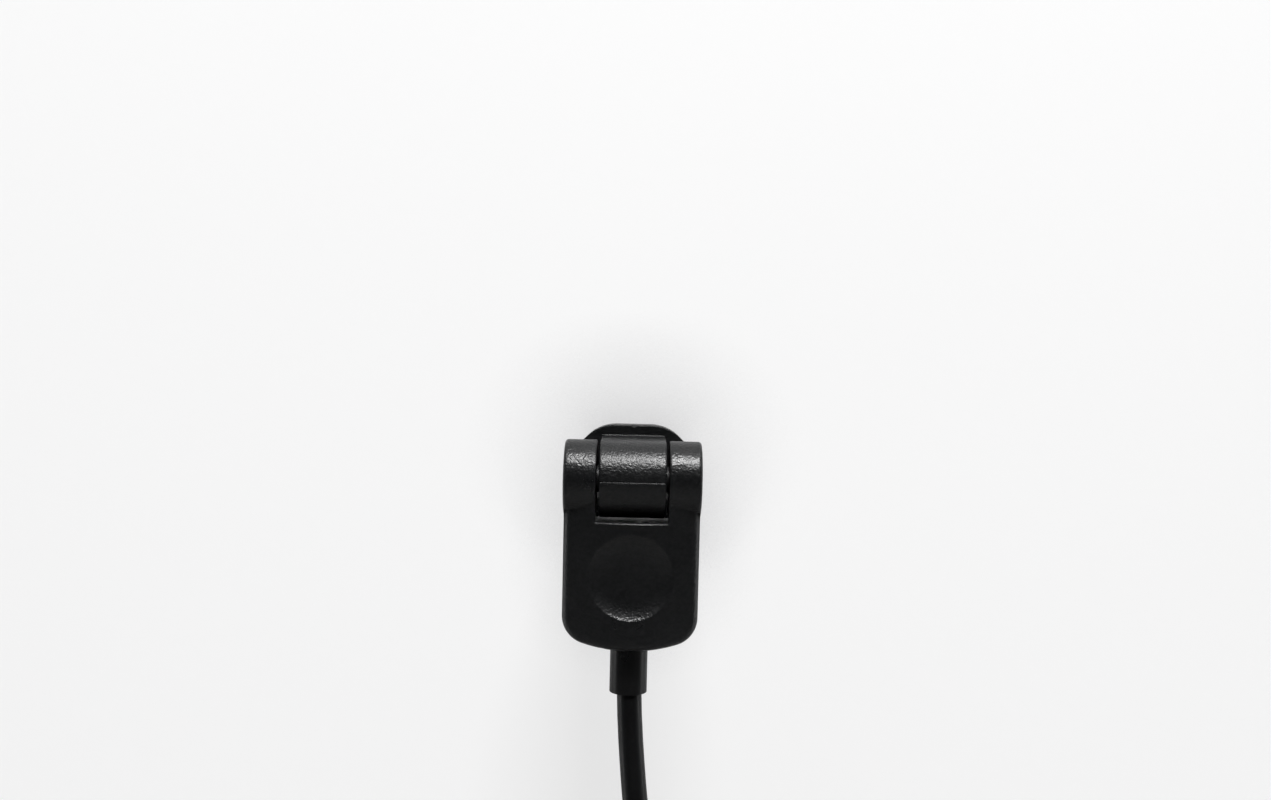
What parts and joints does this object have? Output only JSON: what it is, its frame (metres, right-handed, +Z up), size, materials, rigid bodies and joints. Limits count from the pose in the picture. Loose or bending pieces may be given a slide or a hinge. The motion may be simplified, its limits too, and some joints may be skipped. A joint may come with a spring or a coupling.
{
  "type": "folding plug extension cord",
  "caption": "Extension cord with a three-pin plug whose grip folds flat along the wall, a round cord put away in a strapped coil, and an in-line socket coupling.",
  "frame": {"origin": "midway between the live and neutral pins, on the front face of the plug's nose", "axes": "+Y out along the pins into the wall socket, +Z up, +X to the right for someone who faces the wall; the grip is folded down flat along the wall"},
  "size_m": [0.1, 0.0616, 0.2887],
  "materials": {
    "housing": "fine spark-eroded grain, satin",
    "relief": "smooth satin",
    "cord": "smooth satin, soft",
    "carrier": "smooth satin",
    "sleeve": "semi-gloss",
    "pin": "nickel plated, bright",
    "contact": "satin",
    "bush": "black nylon",
    "screw": "zinc plated",
    "core_brown": "semi-gloss",
    "core_blue": "semi-gloss",
    "core_green": "semi-gloss",
    "strap": "woven hook and loop"
  },
  "bodies": {
    "plug_head": {"pin_carrier": "housing", "head_upper_shell": "housing", "head_lower_shell": "housing", "live_pin": "pin", "neutral_pin": "pin", "earth_pin": "pin", "live_pin_sleeve": "sleeve", "neutral_pin_sleeve": "sleeve", "left_hinge_bush": "bush", "right_hinge_bush": "bush", "head_live_core": "core_brown", "head_neutral_core": "core_blue", "head_earth_core": "core_green"},
    "folding_grip": {"grip_front_shell": "housing", "grip_back_shell": "housing", "grip_screws": "screw", "strain_relief": "relief", "cord_tube": "cord", "cord_coil": "cord", "cord_tail": "cord", "coil_straps": "strap", "coupling_front_shell": "housing", "coupling_back_shell": "housing", "contact_carrier": "carrier", "coupling_strain_relief": "relief", "grip_live_core": "core_brown", "coupling_live_core": "core_brown", "coupling_live_contact": "contact", "grip_neutral_core": "core_blue", "coupling_neutral_core": "core_blue", "coupling_neutral_contact": "contact", "grip_earth_core": "core_green", "coupling_earth_core": "core_green", "coupling_earth_contact": "contact"}
  },
  "joints": [
    {"name": "grip_fold", "type": "hinge", "parent": "plug_head", "child": "folding_grip", "pos_m": [0, -0.0205, -0.0048], "axis": [-1, 0, 0], "range_deg": [0, 90]}
  ]
}
